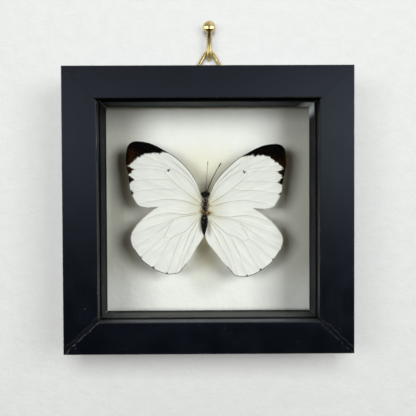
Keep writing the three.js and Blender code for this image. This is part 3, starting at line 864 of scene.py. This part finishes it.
wings = {
    "forewing_left": (forewing, left_tip, -1, (-4.1, -66.7), 0, 1, 0, -13),
    "forewing_right": (forewing, right_tip, 1, (0.8, -67), -0.023, 0.983, 1.2, -13),
    "hindwing_left": (hindwing, None, -1, (-4.1, -69.3), 0, 1, 0, -12.4),
    "hindwing_right": (hindwing, None, 1, (0.8, -70.6), 0.0075, 1.004, 1.7, -12.4),
}
for seed, (name, (shape, tip, side, root, turn, size, inner, plane)) in enumerate(wings.items()):
    sheet, tubes, rim = wing(name, shape, tip, side, root, turn, size, inner, plane)
    for piece in (sheet, tubes, rim):
        settle(piece, 60)
    sheet.name = name + "_membrane"
    stands_for(sheet, powdered("powder_" + name, seed * 9.0), "wing_membrane", name)
    stands_for(tubes, veined("veins_" + name), "wing_membrane")
    stands_for(rim, rim_material, "wing_membrane")

# Antennae
# Two thin dark shafts with a small club at the tip, grown from the top of the head.
nodes = Nodes("antenna_horn")
ringed = nodes.grain((0.5, 0.5, 3.5))
tone = nodes.blend(nodes.step(ringed, 0.4, 0.6), (0.008, 0.007, 0.006), (0.03, 0.028, 0.024))
horn = nodes.finish(Base_Color=tone, Roughness=0.5, Specular_IOR_Level=0.4)
shaft_points = 46
swelling = [0, 0.06, 0.5, 0.82, 0.93, 0.985, 1], [1.6, 1, 0.85, 0.8, 1.7, 1.3, 0.2]
radii = np.interp(np.linspace(0, 1, shaft_points), *swelling)
for name, points, thickness in (
    ("antenna_left", [(-2.0, -12.9, -61.1), (-1.75, -13.2, -57.5), (-1.3, -13.25, -52.5), (-0.9, -13.2, -47.4)], 0.09),
    ("antenna_right", [(-1.4, -12.9, -61.1), (0.2, -13.25, -57.0), (2.5, -13.3, -52.4), (4.9, -13.2, -48.3)], 0.19),
):
    shaft = [(Vector(p) * mm, thickness * r) for p, r in zip(curved(points, shaft_points), radii)]
    piece = strands(name + "_horn", [shaft], 3)
    settle(piece, 60)
    stands_for(piece, horn, "antenna", name)

# Glue
# One dot of clear glue holds the underside of the thorax to the back pane.
nodes = Nodes("clear_set_glue")
milky = nodes.step(nodes.grain(1.4, 3), 0.35, 0.65)
glue = nodes.finish(
    Base_Color=nodes.blend(milky, (0.72, 0.66, 0.5), (0.85, 0.82, 0.72)),
    Roughness=0.12,
    Specular_IOR_Level=0.5,
    Alpha=0.55,
)
pane_y, thorax_y, bead = -9.35, -10.0, 1.3
place = (body_x, pane_y, body_z)
dot = new_piece("glue_bead", "uv_sphere", place, (1, 0.95, 1.1), segments=36, ring_count=24, radius=bead * mm)
edit(dot)
bisect((0, pane_y, 0), (0, 1, 0))
bisect((0, thorax_y, 0), (0, -1, 0))
settle(dot, 40)
stands_for(dot, glue, "clear_glue", "glue_dot")

# Glazing points
# Four small blades of bright steel, pressed into the rebate behind the back pane to keep everything in.
nodes = Nodes("bright_steel")
scratched = nodes.grain((3.0, 3.0, 0.3), 3, 0.6)
tarnish = nodes.step(nodes.grain(0.5, 3), 0.5, 0.75)
bright = nodes.finish(
    Base_Color=nodes.blend(tarnish, (0.55, 0.55, 0.56), (0.3, 0.27, 0.23)),
    Metallic=1.0,
    Roughness=nodes.step(scratched, 0.3, 0.7, 0.28, 0.45),
    Normal=nodes.bump(scratched, 0.02),
)
dress(bright, *("glazing_point_" + name for name in rails))

# Brass for the hanger and the hook
# Cold-drawn wire and strip, polished and lightly browned where hands and time have touched it.


def brass(name, scale, dull=0.0, hook_stem=False):
    nodes = Nodes(name)
    browned = nodes.step(nodes.grain(scale, 3, 0.6), 0.45, 0.75)
    drawn = nodes.grain(1.2)
    tone = nodes.blend(browned * 0.5, (0.6, 0.475, 0.2), (0.36, 0.25, 0.09))
    if hook_stem:
        # The upright is dark brown down its middle below the ball
        x, _, z = nodes.split(nodes.place(1.0))
        dark_under_ball = nodes.step(z, 4.0, 10.3) * nodes.step(z, 10.5, 10.9, 1, 0) * nodes.step(abs(x), 0.3, 1.0, 1, 0)
        tone = nodes.blend(dark_under_ball, tone, (0.06, 0.035, 0.01))
        # The bend is rubbed dull by the ring
        browned = nodes.step(z, 3.0, 5.5, 3.0, 0) + browned
    return nodes.finish(
        Base_Color=tone,
        Metallic=1.0,
        Roughness=nodes.step(drawn, 0.3, 0.7, 0.22 + dull, 0.29 + dull) + browned * 0.08,
        Normal=nodes.bump(drawn, 0.006),
    )


# Hanger strap
# A strip of brass 0.5 mm thick, folded round the base of the ring and back on itself. Its screw goes through both
# layers.
ring_y, ring_base = -2.45, -10.95
strap_width, strap_sheet = 6, 0.46
layer_front, layer_back = -3.76, -3.24
strap_foot, closing = -16.5, 0.6
strap = new_piece(
    "folded_strap",
    "plane",
    (0, layer_front, (ring_base + strap_foot) / 2),
    (strap_width * mm, (ring_base - strap_foot) * mm, 1),
    size=1,
    rotation=(math.pi / 2, 0, 0),
)
edit(strap)
pick("edges", lambda e: all(v.co.z > (ring_base - 0.01) * mm for v in e.verts))
spin(30, 308, (0, ring_y, ring_base), (1, 0, 0))
end = next(v.co / mm for v in bmesh.from_edit_mesh(strap.data).verts if v.select)
for run in ((0, layer_back - end.y, -closing), (0, 0, strap_foot + closing - end.z)):
    bpy.ops.mesh.extrude_edges_move(TRANSFORM_OT_translate={"value": [v * mm for v in run]})
bpy.ops.object.mode_set(mode="OBJECT")
modify(strap, "SOLIDIFY", thickness=strap_sheet * mm, offset=0)
modify(strap, "BEVEL", width=0.12 * mm, segments=2, limit_method="ANGLE", angle_limit=math.radians(50))
outward(strap, 0.001)
settle(strap)
stands_for(strap, brass("brass_strip", 0.5, 0.12), "brass", "hanger_strap")

# Hanger screw
# A small round-headed brass screw with a sawn slot, driven through the strap into the top rail.
head_y, screw_z = -2.7, -14.2
across_y = (math.pi / 2, 0, 0)
place = (0, head_y, screw_z)
head = new_piece(
    "screw_head", "uv_sphere", place, (1, 1, 0.74), segments=40, ring_count=24, radius=1.5 * mm, rotation=across_y
)
edit(head)
bisect((0, head_y, 0), (0, -1, 0))
slot_turn = (0, math.radians(24), 0)
saw = new_piece(
    "saw", "cube", (0, head_y + 1.4, screw_z), (0.42 * mm, 1.7 * mm, 5 * mm), size=1, rotation=slot_turn
)
modify(head, "BOOLEAN", operation="DIFFERENCE", object=saw)
bpy.data.objects.remove(saw)
place = (0, head_y - 3.4, screw_z)
taper = dict(radius1=0.8 * mm, radius2=0.25 * mm, depth=7 * mm)
shaft = new_piece("screw_shaft", "cone", place, vertices=28, rotation=across_y, **taper)
screw = joined("round_head_screw", [head, shaft])
settle(screw)
stands_for(screw, brass("brass_screw", 0.9, 0.08), "brass", "hanger_screw")

# Hanger ring
# Brass wire of 1.5 mm bent to a triangle with rounded corners. Its ends butt together inside the strap.
wire = 0.75
apex_bend, base_bend = 2.4, 1.6
hook_rod, hook_bend = 1.1, 3.5
half_gap = 0.12
seat = (hook_bend - hook_rod - wire - 0.3) * math.sqrt(0.5)
apex_top = hook_bend - seat + apex_bend
half_base = (apex_top - ring_base) * math.tan(math.pi / 6)
corner_x = half_base - base_bend * math.sqrt(3)
leg = (apex_top - ring_base) / math.cos(math.pi / 6) - apex_bend * math.sqrt(3) - base_bend * math.sqrt(3)
section = dict(vertices=24, radius=wire * mm, fill_type="NGON", rotation=(0, math.pi / 2, 0))
ring = new_piece("wire_ring", "circle", (half_gap, ring_y, ring_base), **section)
edit(ring)
for degrees, run, centre, steps in (
    (0, corner_x - half_gap, (corner_x, ring_y, ring_base + base_bend), 14),
    (120, leg, (0, ring_y, apex_top - 2 * apex_bend), 18),
    (240, leg, (-corner_x, ring_y, ring_base + base_bend), 14),
):
    heading = math.radians(degrees)
    extrude(math.cos(heading) * run, 0, math.sin(heading) * run)
    spin(steps, 120, centre, (0, 1, 0), use_auto_merge=False)
extrude(corner_x - half_gap, 0, 0)
bpy.ops.object.mode_set(mode="OBJECT")
outward(ring, 0.001)
settle(ring)
stands_for(ring, brass("brass_wire", 0.8), "brass", "hanger_ring")

# Wall hook
# A polished brass hook: a threaded shank screwed into the wall, a bend, and an upright that ends in a ball.
ball_z, ball = 13.3, 2.75
rod_end, core_radius = 0.4, 0.82
hook_y = -(hook_bend - seat - ring_y)
section = dict(vertices=32, radius=hook_rod * mm, fill_type="NGON", rotation=across_y)
hook = new_piece("ball_hook", "circle", (0, rod_end, 0), **section)
edit(hook)
extrude(0, hook_y + hook_bend - rod_end, 0)
spin(20, 90, (0, hook_y + hook_bend, hook_bend), (1, 0, 0))
extrude(0, 0, ball_z - ball - hook_bend - 0.5)
extrude(0, 0, 0.7)
bpy.ops.transform.resize(value=(0.82, 0.82, 1))
extrude(0, 0, 0.8)
knob = new_piece("knob", "uv_sphere", (0, hook_y, ball_z), segments=64, ring_count=40, radius=ball * mm)
size = dict(vertices=28, radius=core_radius * mm, depth=11.2 * mm)
core = new_piece("core", "cylinder", (0, 5.8, 0), rotation=across_y, **size)
size = dict(vertices=28, radius1=core_radius * mm, radius2=0.02 * mm, depth=3.7 * mm)
point = new_piece("point", "cone", (0, 13.1, 0), rotation=(-math.pi / 2, 0, 0), **size)
turns, pitch, thread_start, thread_radius, per_turn = 8, 1.45, 1.0, 0.86, 28
helix = []
for i in range(turns * per_turn + 1):
    t = i / per_turn
    angle = 2 * math.pi * t
    radius = min(thread_radius, thread_radius * (turns + 0.6 - t) / 1.4)
    spot = Vector((radius * math.cos(angle), thread_start + t * pitch, radius * math.sin(angle))) * mm
    helix.append((spot, 0.24 * min(1, t * 2 + 0.1, (turns - t) + 0.15)))
thread = strands("thread", [helix], 0)
hook = joined("ball_hook", [hook, knob, core, point, thread])
outward(hook, 0.0005)
settle(hook, 40)
stands_for(hook, brass("polished_brass", 0.6, hook_stem=True), "brass", "wall_hook")

# Studio
# A pale plastered wall that the hook is screwed into, with a whiter panel behind the frame, and a pale floor. Soft
# lamps stand at both sides in front, above and behind. Seen from its back, and for the lamp behind, the wall is open.


def plaster(name, tint, shaded):
    def toned(*factors):
        return [t * factor for t, factor in zip(tint, factors)]

    nodes = Nodes(name)
    rough = nodes.grain(0.16, 3, 0.55)
    grit = nodes.grain(0.7)
    shade = nodes.blend(nodes.step(rough, 0.3, 0.7), toned(0.975, 0.975, 0.975), tint)
    x, _, z = nodes.split(nodes.place(1.0, (frame_x, 0, frame_z)))
    if shaded:
        # Painted shade: greyer at the sides, darker in a band on the left and in the upper right corner, and warmer
        # and darker behind the butterfly's body and below its abdomen
        side_shade = nodes.step(abs(x - 2), 22, 42) * nodes.step(z, -40, -23) * nodes.step(z, 46, 30, 0.75, 1)
        shade = nodes.blend(side_shade, shade, toned(0.72, 0.71, 0.66))
        left_band = nodes.step(abs(x + 42), 4.5, 1.5) * nodes.step(abs(z), 30, 16, 0, 0.17)
        right_corner = nodes.step(x, 31, 38) * nodes.step(z, 30, 38, 0, 0.16)
        shade = nodes.blend(left_band + right_corner, shade, (0, 0, 0))
        for middle_z, small, large, warm in (
            (2, 16, 34, (0.93, 0.9, 0.78)), (-31, 3, 13, (0.8, 0.8, 0.77)), (-23, 1.5, 9.5, (0.56, 0.54, 0.46))
        ):  # fmt: skip
            away = nodes.distance(nodes.place((1, 0, 1), (-1.6, 0, frame_z + middle_z)))
            shade = nodes.blend(nodes.step(away, small, large, 1, 0), shade, toned(*warm))
    else:
        # Painted light: a lighter band just above the frame
        lit = nodes.step(z, frame_height / 2 - 3, frame_height / 2 + 9, 1, 0) * nodes.step(z, 40, 50)
        shade = nodes.blend(lit * nodes.step(abs(x), 56, 62, 1, 0), shade, toned(1.22, 1.22, 1.22))
    relief = nodes.bump(rough + grit * 0.3, 0.5)
    matt = nodes.add("BsdfDiffuse", {}, {"Color": shade, "Normal": relief})
    behind = nodes.add("NewGeometry", {}, {}, "Backfacing")
    hidden = behind.math("MAXIMUM", behind, nodes.add("LightPath", {}, {}, "Is Shadow Ray"))
    open_air = nodes.add("BsdfTransparent", {}, {})
    return nodes.end(nodes.add("MixShader", {}, {0: hidden, 1: matt, 2: open_air}))


walls = {}
for name, place, wide, high, tint, shaded in (
    ("wall", (0, 0, 120), 900, 720, (0.345, 0.345, 0.334), False),
    ("wall_panel", (frame_x, -0.02, frame_z), 108, 106, (0.865, 0.862, 0.835), True),
):
    walls[name] = new_piece(name, "plane", place, (wide * mm, high * mm, 1), size=1, rotation=across_y)
    walls[name].data.materials.append(plaster(name + "_plaster", tint, shaded))
nodes = Nodes("pale_floor")
pale = nodes.blend(nodes.grain(0.02), (0.78, 0.78, 0.77), (0.82, 0.82, 0.81))
ground = new_piece("floor", "plane", (0, 0, -240), (6, 6, 1), size=1)
ground.data.materials.append(nodes.finish(Base_Color=pale, Roughness=0.8))
ground.visible_glossy = ground.visible_diffuse = False


def lamp(name, azimuth, elevation, distance, width, height, power, tint=(1, 1, 1), mirrored=False, diffused=True):
    """A soft rectangular lamp that faces the frame's middle from the given direction."""
    data = bpy.data.lights.new(name, "AREA")
    data.shape, data.size, data.size_y = "RECTANGLE", width, height
    data.energy, data.color = power, tint
    item = bpy.data.objects.new(name, data)
    bpy.context.scene.collection.objects.link(item)
    a, e = math.radians(azimuth), math.radians(elevation)
    away = Vector((math.sin(a) * math.cos(e), -math.cos(a) * math.cos(e), math.sin(e)))
    item.location = Vector((frame_x * mm, 0, frame_z * mm)) + away * distance
    item.rotation_mode = "QUATERNION"
    item.rotation_quaternion = away.to_track_quat("Z", "Y")
    item.visible_camera = item.visible_transmission = False
    item.visible_glossy, item.visible_diffuse = mirrored, diffused
    return item


daylight = (0.98, 1, 1.03)
lamp("left_lamp", -26, 6, 1.0, 0.4, 0.26, 4.7, daylight)
lamp("right_lamp", 29, 9, 1.0, 0.4, 0.38, 6.7, daylight)
lamp("top_lamp", 0, 68, 0.9, 1.4, 0.35, 3.5, daylight)
lamp("back_lamp", 180, 24, 1.0, 0.9, 0.5, 8.0)
# Two lamps at the sides shine on nothing but the brass, and one in front on nothing but the wall
brass_only, wall_only, panel_only = map(bpy.data.collections.new, ("brass_only", "wall_only", "panel_only"))
for item in (strap, screw, ring, hook):
    brass_only.objects.link(item)
wall_only.objects.link(walls["wall"])
panel_only.objects.link(walls["wall_panel"])
left_glint = lamp("left_glint", -64, -26, 0.8, 1.25, 1.0, 28, (1, 0.97, 0.86), True, False)
right_glint = lamp("right_glint", 57, -26, 0.8, 1.0, 1.0, 24, (1, 1, 0.97), True, False)
left_glint.light_linking.receiver_collection = right_glint.light_linking.receiver_collection = brass_only
lamp("wall_lamp", 0, 15.5, 1.0, 0.3, 0.42, 14, daylight).light_linking.receiver_collection = wall_only
# Two warm spots light the panel through the wings, one all of it and one below the abdomen
spot_away = 500
for name, fill_z, fill_radius, power, tint in (
    ("narrow_fill", -84, 16, 1.3, (1, 0.92, 0.66)), ("wide_fill", -72, 56, 0.75, (1, 0.94, 0.78))
):  # fmt: skip
    fill_data = bpy.data.lights.new(name, "SPOT")
    fill_data.energy, fill_data.color = power, tint
    fill_data.spot_size, fill_data.spot_blend = 2 * math.atan(fill_radius / spot_away), 1.0
    fill_data.shadow_soft_size = 0.005
    fill = bpy.data.objects.new(name, fill_data)
    bpy.context.scene.collection.objects.link(fill)
    fill.location = Vector((-1.8, -spot_away, fill_z)) * mm
    fill.rotation_euler = (math.pi / 2, 0, 0)
    fill.visible_glossy = False
    fill.light_linking.receiver_collection = fill.light_linking.blocker_collection = panel_only

world = bpy.data.worlds.new("studio")
bpy.context.scene.world = world
nodes = Nodes(world)
wx, _, wz = nodes.split(nodes.add("TexCoord", {}, {}, "Generated"))
mirror_sky = nodes.add("ValToRGB", {}, {0: wz * 0.5 + 0.5})
ramp = mirror_sky.socket.node.color_ramp.elements
for position, *tint in (
    (0.18, 0.4, 0.36, 0.25), (0.3, 0.0, 0.0, 0.001), (0.46, 0.001, 0.0015, 0.003), (0.5, 0.46, 0.54, 0.68),
    (0.55, 1.05, 1.2, 1.45), (0.61, 0.2, 0.24, 0.3), (0.75, 0.5, 0.5, 0.46),
):  # fmt: skip
    ramp.new(position).color = (*tint, 1)
ramp[0].color, ramp[-1].color = (0.5, 0.45, 0.3, 1), (1, 1, 1, 1)
path, seen = (nodes.add("LightPath", {}, {}, f"Is {kind} Ray") for kind in ("Glossy", "Camera"))
mirror_sky = nodes.blend(nodes.step(wx, -0.6, 0.6, 0.5, 0), mirror_sky, (0, 0, 0))
towards_sides = nodes.step(abs(wx), 0.05, 0.22) * 0.8 + 0.92
mirror_sky = nodes.add("VectorMath", {"operation": "SCALE"}, {0: mirror_sky, "Scale": towards_sides})
sky = nodes.blend(path, (0.06, 0.05, 0.015), mirror_sky)
sky = nodes.blend(seen, sky, (0.82, 0.83, 0.83))
nodes.add("OutputWorld", {}, {0: nodes.add("Background", {}, {0: sky, 1: 1.0})})
